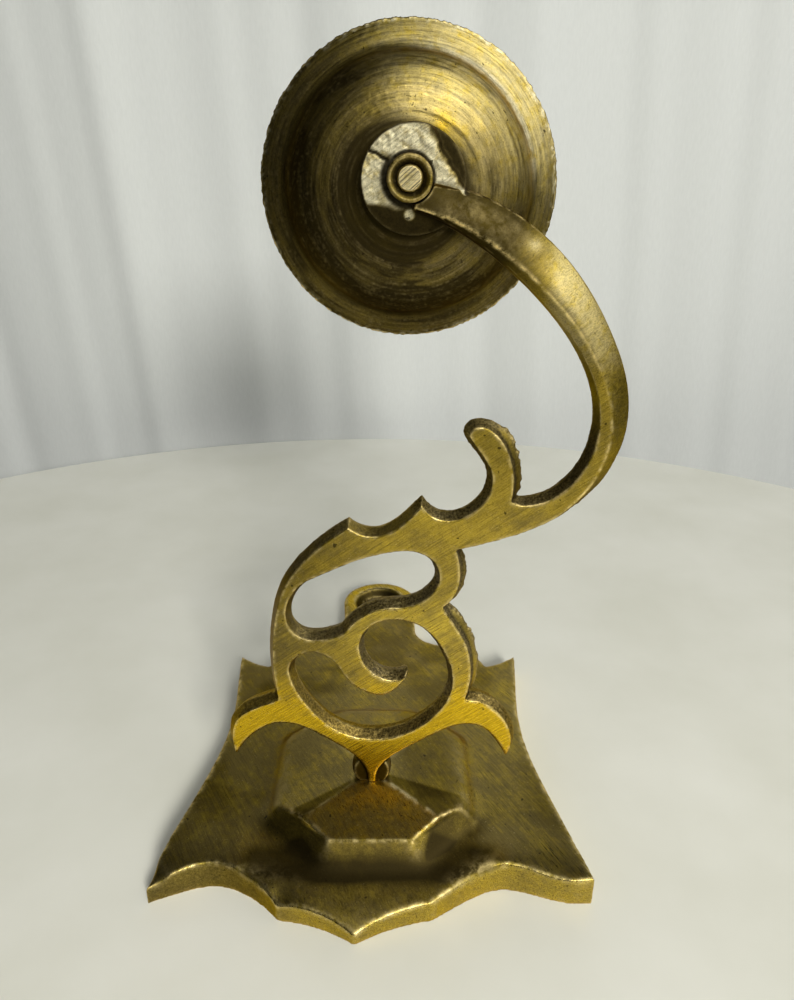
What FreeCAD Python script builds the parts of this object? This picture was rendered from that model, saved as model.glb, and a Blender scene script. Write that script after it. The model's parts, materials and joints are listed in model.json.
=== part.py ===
import FreeCAD, Part
import math
import os

# Brass wall sconce for one candle, lying on its wall plate.
# Millimetres. +Z leaves the wall plate, +Y runs from the plate's point to its hanging lobe.
# It is drawn from the pivot axis that carries the arm, and saved with its origin in the middle
# of the hanging hole, on the back of the plate.

V = FreeCAD.Vector
X_AXIS, Y_AXIS, Z_AXIS = V(1, 0, 0), V(0, 1, 0), V(0, 0, 1)

# Wall plate, in plan
CORNER_X, CORNER_Y = 72.0, -33.5        # flared lower corners
WAIST_X, WAIST_Y = 58.3, 38.0           # narrowest place of the sides
EAR_X, EAR_Y = 63.0, 91.0               # pointed upper ears
POINT_Y = -48.5                         # tip of the lower scallop
SCALLOP_SHIFT = -4.5                    # the lower scallop sits a little left of the axis
CUSP_HALF = 24.5                        # half distance between the two cusps beside the point
CUSP_Y = -40.0
ARCH_Y = -28.0                          # deepest place of the two lower arches
NECK_X = 17.5                           # half width of the tab that carries the lobe
LOBE_RADIUS = 18.6
LOBE_Y = 140.5
HANG_RADIUS = 9.5                       # hanging hole
HANG_SINK = 4.0                         # depth and extra radius of its countersink
# Height of the plate's face at stations along Y: it rolls down to the point
FACE_STATIONS = [(-48.8, 4.3), (-44.0, 7.0), (-38.0, 9.1), (-30.0, 11.0), (-18.0, 12.0),
                 (45.0, 12.0), (92.0, 10.0), (160.0, 9.0)]
RIM = 6.0                               # solid border left round the hollow back
SHELL_Z = 5.0                           # ceiling of the hollow back under the flat parts

# Boss in the middle of the plate: a hipped top on a flared, cut-cornered plinth
BOSS_X = 32.7
BOSS_FRONT, BOSS_BACK = -24.5, 42.0
BOSS_CUT_X, BOSS_CUT_Y = 19.0, 15.5
BOSS_EDGE_Z = 18.5
BOSS_PEAK_Z = 24.8
SEAT_Z = 23.5                           # flat filed on the peak, where the arm stands
FLARE = 5.5
FOOT_Z = 11.0
CAVITY_Z = 17.5                         # ceiling of the cavity that holds the nuts

# Pivot
PLAY = 0.05                             # end play on each side of a turning pair
PIVOT_RADIUS = 2.5
PIVOT_BORE = 2.58
NUT_WELL = 9.0                          # radius of the round hollow for the nuts
STUD_TOP, STUD_END = 34.0, 5.6
WASHER_RADIUS, WASHER_THICK = 6.0, 1.0
NUT_FLATS, NUT_HEIGHT, LOCKNUT_HEIGHT = 8.0, 4.7, 3.2

# Arm: a flat scroll casting standing in the plane Y = 0
ARM_HALF = 4.0                          # half thickness
DRAFT = 1.6                             # the faces are this much smaller than the parting line
KNUCKLE_RADIUS, KNUCKLE_Z = 6.8, 28.0   # round knuckle behind the neck
KNUCKLE_HALF = 3.2                      # its two flats stand back from the faces of the arm

# Candle axis: it runs along +Y through the hub at the end of the arm
AXIS_X, AXIS_Z = 12.0, 217.7
HUB_X, HUB_Z = 13.0, 217.1              # the cast hub is a little off the drilled axis
HUB_RADIUS, HUB_FRONT, HUB_BACK = 13.5, -1.0, 4.0
CUP_STUD_RADIUS, HUB_BORE = 3.25, 3.33
FERRULE_RADIUS, FERRULE_HEIGHT = 5.8, 3.4
FERRULE_LIP, FERRULE_MOUTH = 0.9, 1.5     # width of its end face, depth of the mouth inside it
# Drip pan: its bore is wide, so it hangs on the stud and its centre sits lower
PAN_DROP = 3.1
PAN_BORE = CUP_STUD_RADIUS + PAN_DROP + PLAY
PAN_RADIUS, PAN_WALL = 40.8, 1.3
PAN_FLAT, PAN_SHOULDER, PAN_CREASE = 15.8, 28.0, 34.0
PAN_SHOULDER_RISE, PAN_CREASE_RISE, PAN_RIM_RISE = 3.2, 11.0, 14.6
CUP_BORE, CUP_DEPTH, CUP_FLOOR = 11.2, 24.0, 11.0


def save(shape, node):
    """Write one piece, moved so that the hanging hole is the origin."""
    shape.translated(V(0, -LOBE_Y, 0)).exportStep("parts/" + node + ".step")


def flat(points, height):
    """Points of the plan at one height."""
    return [V(x, y, height) for x, y in points]


def arc(a, b, c):
    return Part.Arc(a, b, c).toShape()


def spline(points, closed=False):
    curve = Part.BSplineCurve()
    curve.interpolate(points, PeriodicFlag=closed)
    return curve


def prism(edges, depth):
    return Part.Face(Part.Wire(edges)).extrude(depth)


def revolved(edges, centre, axis):
    """Full turn of a closed half section."""
    return Part.Face(Part.Wire(edges)).revolve(centre, axis, 360)


# ---------------------------------------------------------------- wall plate

def plate_right(inset):
    """Right side of the plan, from the lower corner to the top of the lobe, moved in by inset."""
    corner = V(CORNER_X - inset, CORNER_Y + inset, 0)
    waist = V(WAIST_X - inset, WAIST_Y, 0)
    ear = V(EAR_X - inset, EAR_Y - 1.6 * inset, 0)
    hollow = V(48.5, 81.5 - inset, 0)
    shoulder = V(35.0, 99.0 - inset, 0)
    flank = [corner, V(63.0 - inset, 4.0, 0), waist, V(60.2 - inset, 66.0, 0), ear]
    return [
        spline(flank).toShape(),
        arc(ear, V(56.5 - 0.5 * inset, 84.8 - 1.2 * inset, 0), hollow),
        arc(hollow, V(42.5, 93.0 - inset, 0), shoulder),
    ]


def mirrored(edges):
    """The same edges on the left of the axis, in the reverse order."""
    return [e.mirror(V(0, 0, 0), X_AXIS) for e in reversed(edges)]


def scallops(inset):
    """Lower edge, from the left corner to the right corner."""
    left, right = V(-CORNER_X + inset, CORNER_Y + inset, 0), V(CORNER_X - inset, CORNER_Y + inset, 0)
    cusps = [V(SCALLOP_SHIFT + side * CUSP_HALF, CUSP_Y + inset, 0) for side in (-1, 1)]
    tip = V(SCALLOP_SHIFT, POINT_Y + 1.2 * inset, 0)
    arch = ARCH_Y + inset
    return [
        spline([left, V(-62.5 + inset, -29.7 + inset, 0), V(-51.0, arch + 0.8, 0),
                V(-40.0, -31.0 + inset, 0), cusps[0]]).toShape(),
        arc(cusps[0], V(-15.0, -43.2 + inset, 0), tip),
        arc(tip, V(7.0, -43.2 + inset, 0), cusps[1]),
        spline([cusps[1], V(32.0, -32.6 + inset, 0), V(43.0, arch - 0.6, 0),
                V(57.0, -31.8 + inset, 0), right]).toShape(),
    ]


def plate_plan():
    """Closed outline of the plate with its hanging lobe."""
    side = plate_right(0)
    shoulder = V(35.0, 99.0, 0)
    neck = V(NECK_X, 112.0, 0)
    lobe_foot = V(NECK_X, 134.0, 0)
    top = V(0, LOBE_Y + LOBE_RADIUS, 0)
    bow_angle = math.radians(40)
    bow = V(LOBE_RADIUS * math.cos(bow_angle), LOBE_Y + LOBE_RADIUS * math.sin(bow_angle), 0)
    tab = [
        Part.Arc(shoulder, V(22.5, 102.8, 0), neck).toShape(),
        Part.makeLine(neck, lobe_foot),
        arc(lobe_foot, bow, top),
    ]
    right = side + tab
    return scallops(0) + right + mirrored(right)


def plate_hollow():
    """Recess in the back: the plan moved in by the rim, without the lobe."""
    side = plate_right(RIM)
    shoulder = V(35.0, 99.0 - RIM, 0)
    roof = Part.makeLine(shoulder, V(-shoulder.x, shoulder.y, 0))
    return scallops(RIM) + side + [roof] + mirrored(side)


def face_roll():
    """Everything under the face of the plate, as one bar along X."""
    stations = [V(-100, y, z) for y, z in FACE_STATIONS]
    first, last = stations[0], stations[-1]
    low_a, low_b = V(-100, first.y - 5, first.z - 1), V(-100, last.y + 5, last.z)
    ends = [V(-100, low_a.y, -1), V(-100, low_b.y, -1)]
    edges = [
        spline(stations).toShape(),
        Part.makeLine(last, low_b),
        Part.makeLine(low_b, ends[1]),
        Part.makeLine(ends[1], ends[0]),
        Part.makeLine(ends[0], low_a),
        Part.makeLine(low_a, first),
    ]
    return prism(edges, V(200, 0, 0))


def octagon(grow, height):
    """Cut-cornered rectangle of the boss, moved out by grow."""
    x, front, back = BOSS_X + grow, BOSS_FRONT - grow, BOSS_BACK + grow
    cx, cy = BOSS_CUT_X + 0.4 * grow, BOSS_CUT_Y + 0.4 * grow
    points = [(x - cx, front), (x, front + cy), (x, back - cy), (x - cx, back),
              (cx - x, back), (-x, back - cy), (-x, front + cy), (cx - x, front)]
    corners = flat(points, height)
    return Part.makePolygon(corners + corners[:1])


def hipped_top():
    """Four-sided pyramid whose slopes pass through the straight edges of the boss."""
    drop = BOSS_PEAK_Z - BOSS_EDGE_Z
    scale = BOSS_PEAK_Z / drop
    x, front, back = BOSS_X * scale, BOSS_FRONT * scale, BOSS_BACK * scale
    base = flat([(-x, front), (x, front), (x, back), (-x, back)], 0)
    peak = V(0, 0, BOSS_PEAK_Z)
    sides = [Part.Face(Part.makePolygon([base[i], base[(i + 1) % 4], peak, base[i]])) for i in range(4)]
    floor = Part.Face(Part.makePolygon(base + base[:1]))
    return Part.makeSolid(Part.makeShell(sides + [floor]))


def boss():
    plinth = Part.makeLoft([octagon(FLARE, FOOT_Z), octagon(0, BOSS_EDGE_Z),
                            octagon(-0.6, BOSS_PEAK_Z)], True, True)
    top = plinth.common(hipped_top())
    seat = Part.makeBox(200, 200, SEAT_Z, V(-100, -100, 0))
    return top.common(seat)


def nut_cavity():
    """Hollow under the boss, with a round well for the nuts."""
    wall = -5.0
    hollow = Part.makeLoft([octagon(wall, 0), octagon(wall - 3.0, 13.5)], True, True)
    well = Part.makeCylinder(NUT_WELL, CAVITY_Z, V(0, 0, 0), Z_AXIS)
    return hollow.fuse(well)


def wall_plate():
    slab = prism(plate_plan(), V(0, 0, 30)).common(face_roll())
    body = slab.fuse(boss())
    body = body.cut(prism(plate_hollow(), V(0, 0, SHELL_Z)))
    body = body.cut(nut_cavity())
    body = body.cut(Part.makeCylinder(PIVOT_BORE, 40, V(0, 0, 0), Z_AXIS))
    hang = V(0, LOBE_Y, -1)
    body = body.cut(Part.makeCylinder(HANG_RADIUS, 20, hang, Z_AXIS))
    sink = Part.makeCone(HANG_RADIUS, HANG_RADIUS + HANG_SINK + 1.0, HANG_SINK + 1.0,
                         V(0, LOBE_Y, 9.2 - HANG_SINK), Z_AXIS)
    return body.cut(sink).removeSplitter()


# ---------------------------------------------------------------- scroll arm

def arm_outline():
    """Parting line of the arm, clockwise seen from -Y, as smooth runs that meet in corners."""
    return [
        # left flank of the neck, out to the tip of the left horn
        [(-2.6, 22.0), (-3.3, 29.2), (-8.4, 35.8), (-15.5, 41.2), (-22.9, 45.9), (-30.9, 47.6),
         (-37.7, 44.2), (-46.0, 34.2)],
        # back of the left horn
        [(-46.0, 34.2), (-48.0, 42.6), (-46.7, 49.5), (-42.6, 54.5), (-37.3, 57.3), (-31.6, 59.6)],
        # outer side of the big left curve, up to the first spike
        [(-31.6, 59.6), (-32.5, 76.2), (-31.2, 88.0), (-25.9, 104.2), (-20.2, 111.6),
         (-13.4, 118.0), (-5.5, 123.2)],
        # saddle between the two spikes
        [(-5.5, 123.2), (-1.6, 120.6), (2.4, 120.0), (7.4, 122.2), (11.8, 126.0), (16.2, 130.6)],
        # hollow side of the spur
        [(16.2, 130.6), (18.3, 128.0), (21.2, 125.8), (26.1, 125.5), (31.1, 128.5), (34.4, 133.4),
         (34.7, 138.7), (31.7, 144.0), (27.7, 149.8)],
        # blunt top of the spur and its rough outer side, down to the crotch
        [(27.7, 149.8), (28.6, 152.9), (32.0, 154.4), (38.4, 151.2), (41.9, 145.7), (43.8, 139.5),
         (43.6, 130.5)],
        # inner side of the long curve, round to the hub
        [(43.6, 130.5), (49.0, 130.4), (57.0, 135.0), (63.2, 146.0), (63.9, 158.0), (58.4, 172.4),
         (47.2, 186.6), (34.6, 197.8), (24.0, 204.8), (12.0, 209.6)],
        [(12.0, 209.6), (12.0, 217.9)],
        # outer side of the long curve, back down to the body
        [(12.0, 217.9), (22.6, 216.2), (34.4, 212.0), (46.6, 204.4), (58.5, 192.3), (67.6, 178.0),
         (73.4, 163.6), (74.3, 150.0), (69.2, 135.6), (57.8, 124.2), (44.0, 117.4), (28.0, 113.2)],
        # waist under it
        [(28.0, 113.2), (29.5, 107.7), (29.1, 100.7), (24.6, 93.6)],
        # right side of the ring
        [(24.6, 93.6), (29.0, 87.0), (32.4, 80.0), (34.0, 72.0), (33.8, 64.3), (32.5, 59.3)],
        # back of the right horn
        [(32.5, 59.3), (41.4, 56.1), (45.1, 52.1), (47.7, 47.2), (48.8, 41.5), (45.6, 33.6)],
        # right flank, back to the neck
        [(45.6, 33.6), (39.9, 42.7), (35.1, 46.7), (28.5, 46.5), (21.9, 43.1), (15.2, 38.9),
         (8.9, 34.7), (3.9, 29.2), (2.6, 22.0)],
        [(2.6, 22.0), (-2.6, 22.0)],
    ]


def kidney_hole():
    """Upper opening, counter-clockwise seen from -Y."""
    return [
        [(-8.9, 85.7), (-3.6, 91.6), (3.7, 94.9), (11.1, 95.5), (17.0, 98.4), (20.3, 103.6),
         (18.6, 109.3), (13.2, 112.0), (6.3, 111.6), (-0.7, 109.8), (-13.8, 104.1), (-20.2, 100.4),
         (-23.7, 95.1), (-24.3, 88.8), (-21.1, 84.0), (-14.1, 83.6), (-8.9, 85.7)],
    ]


def spiral_hole():
    """Lower opening round the curled tongue, counter-clockwise seen from -Y."""
    return [
        # inside of the ring
        [(-24.5, 69.7), (-22.7, 62.6), (-18.9, 55.8), (-14.1, 49.8), (-7.9, 45.5), (-0.6, 43.6),
         (6.9, 44.4), (13.8, 47.6), (19.6, 52.5), (23.9, 58.8), (25.4, 66.0), (23.9, 73.4),
         (20.5, 80.2), (15.3, 85.8), (8.7, 88.0), (1.9, 86.2), (-1.6, 80.6), (-0.4, 73.6),
         (4.4, 68.5), (9.0, 67.9), (12.6, 69.0)],
        # blunt tip of the tongue
        [(12.6, 69.0), (12.4, 65.8)],
        # outer side of the tongue
        [(12.4, 65.8), (9.0, 61.6), (3.6, 59.0), (-3.0, 61.0), (-7.9, 64.9), (-11.2, 70.8),
         (-13.9, 74.0), (-18.6, 75.9), (-22.7, 74.0), (-24.5, 69.7)],
    ]


def run_normals(run):
    """Left-hand unit normal of a run at each of its points."""
    curve = spline([V(x, 0, z) for x, z in run])
    normals = []
    for x, z in run:
        along = curve.tangent(curve.parameter(V(x, 0, z)))[0]
        normals.append(V(-along.z, 0, along.x))
    return normals


def drafted(runs, shift, level):
    """Wire of the runs at Y = level, with each run moved by shift along its left-hand normal."""
    normals = [run_normals(run) for run in runs]
    edges = []
    for i, run in enumerate(runs):
        before, after = normals[i - 1][-1], normals[(i + 1) % len(runs)][0]
        moved = []
        for j, (x, z) in enumerate(run):
            lean = normals[i][j]
            if j == 0:
                lean = (lean + before).normalize() * 1.1
            if j == len(run) - 1:
                lean = (lean + after).normalize() * 1.1
            moved.append(V(x, level, z) + lean * shift)
        edges.append(spline(moved).toShape())
    return Part.Wire(edges)


def drafted_plate(runs, draft):
    """Plate that is widest on the parting plane and draft smaller on both faces."""
    wires = [drafted(runs, -draft, -ARM_HALF), drafted(runs, 0, 0), drafted(runs, -draft, ARM_HALF)]
    return Part.makeLoft(wires, True, True)


def hub():
    """Round flange at the end of the arm."""
    centre = V(HUB_X, HUB_FRONT, HUB_Z)
    return Part.makeCylinder(HUB_RADIUS, HUB_BACK - HUB_FRONT, centre, Y_AXIS)


def knuckle():
    """Ball with flat front and back, which holds the pivot stud."""
    ball = Part.makeSphere(KNUCKLE_RADIUS, V(0, 0, KNUCKLE_Z))
    return ball.common(Part.makeBox(40, 2 * KNUCKLE_HALF, 40, V(-20, -KNUCKLE_HALF, 8)))


def scroll_arm():
    arm = drafted_plate(arm_outline(), DRAFT)
    for hole in (kidney_hole(), spiral_hole()):
        arm = arm.cut(drafted_plate(hole, DRAFT))
    arm = arm.fuse(hub()).fuse(knuckle())
    # the knuckle stands on the seat of the boss
    arm = arm.cut(Part.makeBox(60, 60, SEAT_Z + PLAY, V(-30, -30, 0)))
    arm = arm.cut(Part.makeCylinder(PIVOT_RADIUS, STUD_TOP, V(0, 0, 0), Z_AXIS))
    # stud hole of the hub, and room for the ferrule in front of it
    arm = arm.cut(Part.makeCylinder(HUB_BORE, 20, V(AXIS_X, -10, AXIS_Z), Y_AXIS))
    room = Part.makeCylinder(FERRULE_RADIUS + 0.4, 10, V(AXIS_X, HUB_FRONT - 10, AXIS_Z), Y_AXIS)
    back = Part.makeBox(60, 10, 60, V(AXIS_X - 30, HUB_BACK, AXIS_Z - 30))
    return arm.cut(room).cut(back).removeSplitter()


# ---------------------------------------------------------------- pivot hardware

def hexagon(flats, height, base):
    radius = flats / math.sqrt(3)
    points = [(radius * math.cos(math.radians(60 * i)), radius * math.sin(math.radians(60 * i)))
              for i in range(7)]
    return Part.Face(Part.makePolygon(flat(points, base))).extrude(V(0, 0, height))


def nut(flats, height, base):
    """Hexagon nut on the pivot axis, both faces chamfered."""
    crown = flats / math.sqrt(3)
    soft = Part.makeCone(crown - 0.6, crown - 0.6 + height, height, V(0, 0, base), Z_AXIS)
    soft = soft.common(Part.makeCone(crown - 0.6 + height, crown - 0.6, height, V(0, 0, base), Z_AXIS))
    return hexagon(flats, height, base).common(soft).cut(
        Part.makeCylinder(PIVOT_RADIUS, height, V(0, 0, base), Z_AXIS))


def pivot_stud():
    length = STUD_TOP - STUD_END
    stud = Part.makeCylinder(PIVOT_RADIUS, length, V(0, 0, STUD_END), Z_AXIS)
    return stud.makeChamfer(0.6, [e for e in stud.Edges if len(e.Vertexes) == 1])


def pivot_washer(top):
    disc = Part.makeCylinder(WASHER_RADIUS, WASHER_THICK, V(0, 0, top - WASHER_THICK), Z_AXIS)
    disc = disc.makeChamfer(0.2, [e for e in disc.Edges if len(e.Vertexes) == 1])
    return disc.cut(Part.makeCylinder(PIVOT_RADIUS, 40, V(0, 0, 0), Z_AXIS))


# ---------------------------------------------------------------- candle end

def on_axis(radius, along):
    """Point of a half section drawn beside the candle axis."""
    return V(AXIS_X + radius, along, AXIS_Z)


def drip_pan(base):
    """Turned dish: flat seat, shallow belly, steep shoulder, crease and everted lip."""
    crease = on_axis(PAN_CREASE, base + PAN_CREASE_RISE)
    belly = [on_axis(PAN_FLAT, base), on_axis(22.0, base + 1.0),
             on_axis(PAN_SHOULDER, base + PAN_SHOULDER_RISE), on_axis(31.5, base + 6.6), crease]
    lip = [crease, on_axis(37.6, base + 12.4), on_axis(PAN_RADIUS, base + PAN_RIM_RISE)]
    up = V(0, PAN_WALL, 0)
    bore = on_axis(PAN_BORE, base)
    inner_lip = [p + up for p in reversed(lip)]
    inner_belly = [p + up for p in reversed(belly)]
    edges = [
        Part.makeLine(bore, belly[0]),
        spline(belly).toShape(),
        spline(lip).toShape(),
        Part.makeLine(lip[-1], inner_lip[0]),
        spline(inner_lip).toShape(),
        spline(inner_belly).toShape(),
        Part.makeLine(inner_belly[-1], bore + up),
        Part.makeLine(bore + up, bore),
    ]
    pan = revolved(edges, V(AXIS_X, 0, AXIS_Z), Y_AXIS)
    return pan.translated(V(0, 0, -PAN_DROP))


def candle_cup(base):
    """Turned socket: foot ring, waist, bowl and flared lip, bored for the candle."""
    top = base + CUP_FLOOR + CUP_DEPTH
    outer = [on_axis(12.5, base + 2.0), on_axis(8.4, base + 4.8), on_axis(13.0, base + 10.4),
             on_axis(14.0, base + 18.0), on_axis(13.2, top - 5.0), on_axis(16.2, top - 0.8)]
    foot, lip_top = on_axis(12.5, base), on_axis(15.6, top)
    bore_top, bore_low = on_axis(CUP_BORE, top), on_axis(CUP_BORE, base + CUP_FLOOR)
    hole_low, hole_top = on_axis(CUP_STUD_RADIUS, base), on_axis(CUP_STUD_RADIUS, base + CUP_FLOOR)
    edges = [
        Part.makeLine(hole_low, foot),
        Part.makeLine(foot, outer[0]),
        spline(outer).toShape(),
        Part.makeLine(outer[-1], lip_top),
        Part.makeLine(lip_top, bore_top),
        Part.makeLine(bore_top, bore_low),
        Part.makeLine(bore_low, hole_top),
        Part.makeLine(hole_top, hole_low),
    ]
    return revolved(edges, V(AXIS_X, 0, AXIS_Z), Y_AXIS)


def cup_stud(start, end):
    stud = Part.makeCylinder(CUP_STUD_RADIUS, end - start, V(AXIS_X, start, AXIS_Z), Y_AXIS)
    return stud.makeChamfer(0.4, [e for e in stud.Edges if len(e.Vertexes) == 1])


def ferrule_nut(face):
    """Round collar nut under the hub, its rim rounded and its mouth countersunk."""
    outer, inner, end = FERRULE_RADIUS, CUP_STUD_RADIUS, face - FERRULE_HEIGHT
    bow = 0.5
    mouth = on_axis(outer - FERRULE_LIP, end)
    throat = on_axis(inner, end + FERRULE_MOUTH)
    soft = arc(on_axis(outer, end + bow), on_axis(outer - 0.3 * bow, end + 0.3 * bow),
               on_axis(outer - bow, end))
    edges = [
        Part.makeLine(on_axis(inner, face), on_axis(outer, face)),
        Part.makeLine(on_axis(outer, face), on_axis(outer, end + bow)),
        soft,
        Part.makeLine(on_axis(outer - bow, end), mouth),
        Part.makeLine(mouth, throat),
        Part.makeLine(throat, on_axis(inner, face)),
    ]
    return revolved(edges, V(AXIS_X, 0, AXIS_Z), Y_AXIS)


def main():
    os.makedirs("parts", exist_ok=True)
    washer_top = CAVITY_Z - PLAY
    nut_base = washer_top - WASHER_THICK - NUT_HEIGHT
    pan_base = HUB_BACK + PLAY
    cup_base = pan_base + PAN_WALL + PLAY
    ferrule_face = HUB_FRONT - PLAY
    save(wall_plate(), "wall_plate")
    save(scroll_arm(), "scroll_arm")
    save(pivot_stud(), "pivot_stud")
    save(pivot_washer(washer_top), "pivot_washer")
    save(nut(NUT_FLATS, NUT_HEIGHT, nut_base), "pivot_nut")
    save(nut(NUT_FLATS, LOCKNUT_HEIGHT, nut_base - LOCKNUT_HEIGHT), "pivot_locknut")
    save(drip_pan(pan_base), "drip_pan")
    save(candle_cup(cup_base), "candle_cup")
    save(cup_stud(ferrule_face - FERRULE_HEIGHT + 0.3, cup_base + CUP_FLOOR), "cup_stud")
    save(ferrule_nut(ferrule_face), "ferrule_nut")


main()
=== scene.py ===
import json
import math

import bmesh
import bpy
import numpy as np
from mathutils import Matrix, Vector, kdtree


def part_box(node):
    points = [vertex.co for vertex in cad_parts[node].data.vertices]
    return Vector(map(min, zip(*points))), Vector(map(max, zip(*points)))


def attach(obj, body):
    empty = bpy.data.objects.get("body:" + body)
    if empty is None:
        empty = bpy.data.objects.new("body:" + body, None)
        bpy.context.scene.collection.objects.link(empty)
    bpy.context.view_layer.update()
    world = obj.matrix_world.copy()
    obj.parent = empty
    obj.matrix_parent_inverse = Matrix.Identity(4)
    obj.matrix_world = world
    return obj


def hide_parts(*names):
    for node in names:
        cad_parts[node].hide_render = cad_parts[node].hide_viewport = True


# A cast brass wall sconce standing on its wall plate on a round white table.
# Shapes are worked out in millimetres beside the pivot: x to the right, y away from the
# camera, z up from the table. They are turned into metres of the frame at the end.

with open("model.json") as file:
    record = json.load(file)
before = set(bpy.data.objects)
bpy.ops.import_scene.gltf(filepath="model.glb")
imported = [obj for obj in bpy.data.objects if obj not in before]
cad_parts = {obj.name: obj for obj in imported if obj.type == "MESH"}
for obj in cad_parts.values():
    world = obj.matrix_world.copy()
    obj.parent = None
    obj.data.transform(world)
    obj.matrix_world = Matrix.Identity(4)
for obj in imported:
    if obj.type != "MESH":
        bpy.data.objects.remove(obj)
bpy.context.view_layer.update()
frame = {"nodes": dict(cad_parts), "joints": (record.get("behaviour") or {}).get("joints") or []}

MM = 0.001
JOINTS = {joint["name"]: joint for joint in frame["joints"]}
PIVOT = np.array(JOINTS["arm_swivel"]["pos_m"]) * [1, 1, 0]
CANDLE = (np.array(JOINTS["cup_turn"]["pos_m"]) - PIVOT) / MM
PAN_CENTRE = (np.array(JOINTS["pan_turn"]["pos_m"]) - PIVOT) / MM

ARM_HALF = 4.0                      # half thickness of the scroll casting
HUB_CENTRE = np.array([13.0, 217.1])


# ------------------------------------------------------------------ numbers

def ramp(value, start, end):
    """0 before start, 1 after end, smooth between them."""
    t = np.clip((value - start) / (end - start), 0, 1)
    return t * t * (3 - 2 * t)


def fade(value, start, end):
    """1 before start, 0 after end, smooth between them."""
    return 1 - ramp(value, start, end)


def bump(value, middle, width):
    """1 at the middle, falling off evenly on both sides."""
    return np.exp(-((value - middle) / width) ** 2)


def lattice(cell, seed):
    """Repeatable number in -1..1 for each whole-number cell."""
    n = cell[:, 0] * 73856093 ^ cell[:, 1] * 19349663 ^ cell[:, 2] * 83492791 ^ seed * 2654435761
    n = (n ^ (n >> 13)) * 1274126177 & 0x7fffffff
    n = (n ^ (n >> 15)) * 668265263 & 0x7fffffff
    return (n & 0xffff) / 32767.5 - 1


def noise(points, size, seed):
    """Smooth lumps of about the given size, -1..1."""
    grid = points / size
    cell = np.floor(grid).astype(np.int64)
    part = grid - cell
    part = part * part * (3 - 2 * part)
    total = np.zeros(len(points))
    for corner in np.ndindex(2, 2, 2):
        share = np.prod(np.where(corner, part, 1 - part), axis=1)
        total += share * lattice(cell + corner, seed)
    return total


def rubble(points, size, seed, octaves=3):
    """Noise with finer noise on it."""
    return sum(noise(points, size / 2 ** k, seed + k) / 2 ** k for k in range(octaves))


# ------------------------------------------------------------------ meshes

STRONG_BEND = 98                    # share of places, in percent, that bend less than a worn edge


def local_points(mesh):
    """Vertices of a mesh in millimetres beside the pivot."""
    flat = np.empty(len(mesh.vertices) * 3)
    mesh.vertices.foreach_get("co", flat)
    return (flat.reshape(-1, 3) - PIVOT) / MM


def put_points(mesh, points):
    """Moves the vertices to these places, in millimetres beside the pivot."""
    mesh.vertices.foreach_set("co", (points * MM + PIVOT).astype(np.float32).ravel())
    mesh.update()


def edge_ends(mesh):
    """Pairs of vertex numbers, one pair for each edge."""
    ends = np.empty(len(mesh.edges) * 2, dtype=np.int64)
    mesh.edges.foreach_get("vertices", ends)
    return ends.reshape(-1, 2)


def normals_of(mesh):
    flat = np.empty(len(mesh.vertices) * 3)
    mesh.vertex_normals.foreach_get("vector", flat)
    return flat.reshape(-1, 3)


def neighbour_mean(values, ends):
    """Mean of each vertex's neighbours."""
    count = np.bincount(ends.ravel(), minlength=len(values))
    columns = []
    for column in values.reshape(len(values), -1).T:
        total = np.bincount(ends[:, 0], column[ends[:, 1]], len(values))
        total += np.bincount(ends[:, 1], column[ends[:, 0]], len(values))
        columns.append(total / np.maximum(count, 1))
    return np.stack(columns, axis=1).reshape(values.shape)


def relax(points, ends, weight, rounds):
    """Moves points towards their neighbours' mean, so that edges round off."""
    for _ in range(rounds):
        points = points + 0.5 * weight[:, None] * (neighbour_mean(points, ends) - points)
    return points


def solid_copy(node, voxel_mm):
    """Even closed mesh of a CAD node's shape."""
    work = bpy.data.objects.new(node + "_work", frame["nodes"][node].data.copy())
    bpy.context.scene.collection.objects.link(work)
    even = work.modifiers.new("even", "REMESH")
    even.mode = "VOXEL"
    even.voxel_size = voxel_mm * MM
    graph = bpy.context.evaluated_depsgraph_get()
    mesh = bpy.data.meshes.new_from_object(work.evaluated_get(graph))
    bpy.data.objects.remove(work)
    return mesh


def mark(mesh, name, values):
    """Stores a number at each vertex for the material to read."""
    attribute = mesh.attributes.new(name, "FLOAT", "POINT")
    attribute.data.foreach_set("value", np.asarray(values, dtype=np.float32))


def mark_edges(mesh, reach, keep=1.0):
    """Marks how worn (outward) and how dirty (inward) each place is, from its bend.

    reach is how many times the bend is averaged, keep how much of the wear is left.
    """
    points, ends, out = local_points(mesh), edge_ends(mesh), normals_of(mesh)
    bend = -np.sum((neighbour_mean(points, ends) - points) * out, axis=1)
    for _ in range(reach):
        bend = 0.5 * bend + 0.5 * neighbour_mean(bend, ends)
    strong = np.percentile(np.abs(bend), STRONG_BEND) + 1e-9
    mark(mesh, "wear", np.clip(bend / strong, 0, 1) * keep)
    mark(mesh, "hollow", np.clip(-bend / strong, 0, 1))


def mark_looks(mesh, patina, shade=0.0, cast=0.0, pale=0.0, gold=0.0):
    """Stores how dull, dark (painted shade, and stains), rough, freshly broken or painted pale,
    and golden each vertex is.
    """
    even = np.ones(len(mesh.vertices))
    mark(mesh, "patina", patina * even)
    for look, amount in (("shade", shade), ("cast", cast), ("pale", pale), ("gold", gold)):
        mark(mesh, look, np.clip(amount, 0, 1) * even)


def piece(name, mesh, body, slot, material, *nodes):
    """Puts a finished mesh in the scene on its body, in place of the CAD nodes named."""
    mesh.name = name
    mesh.materials.clear()
    mesh.materials.append(material)
    mesh.shade_smooth()
    obj = bpy.data.objects.new(name, mesh)
    bpy.context.scene.collection.objects.link(obj)
    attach(obj, body)
    if nodes:
        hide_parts(*nodes)
    return obj


# ------------------------------------------------------------------ materials

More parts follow.
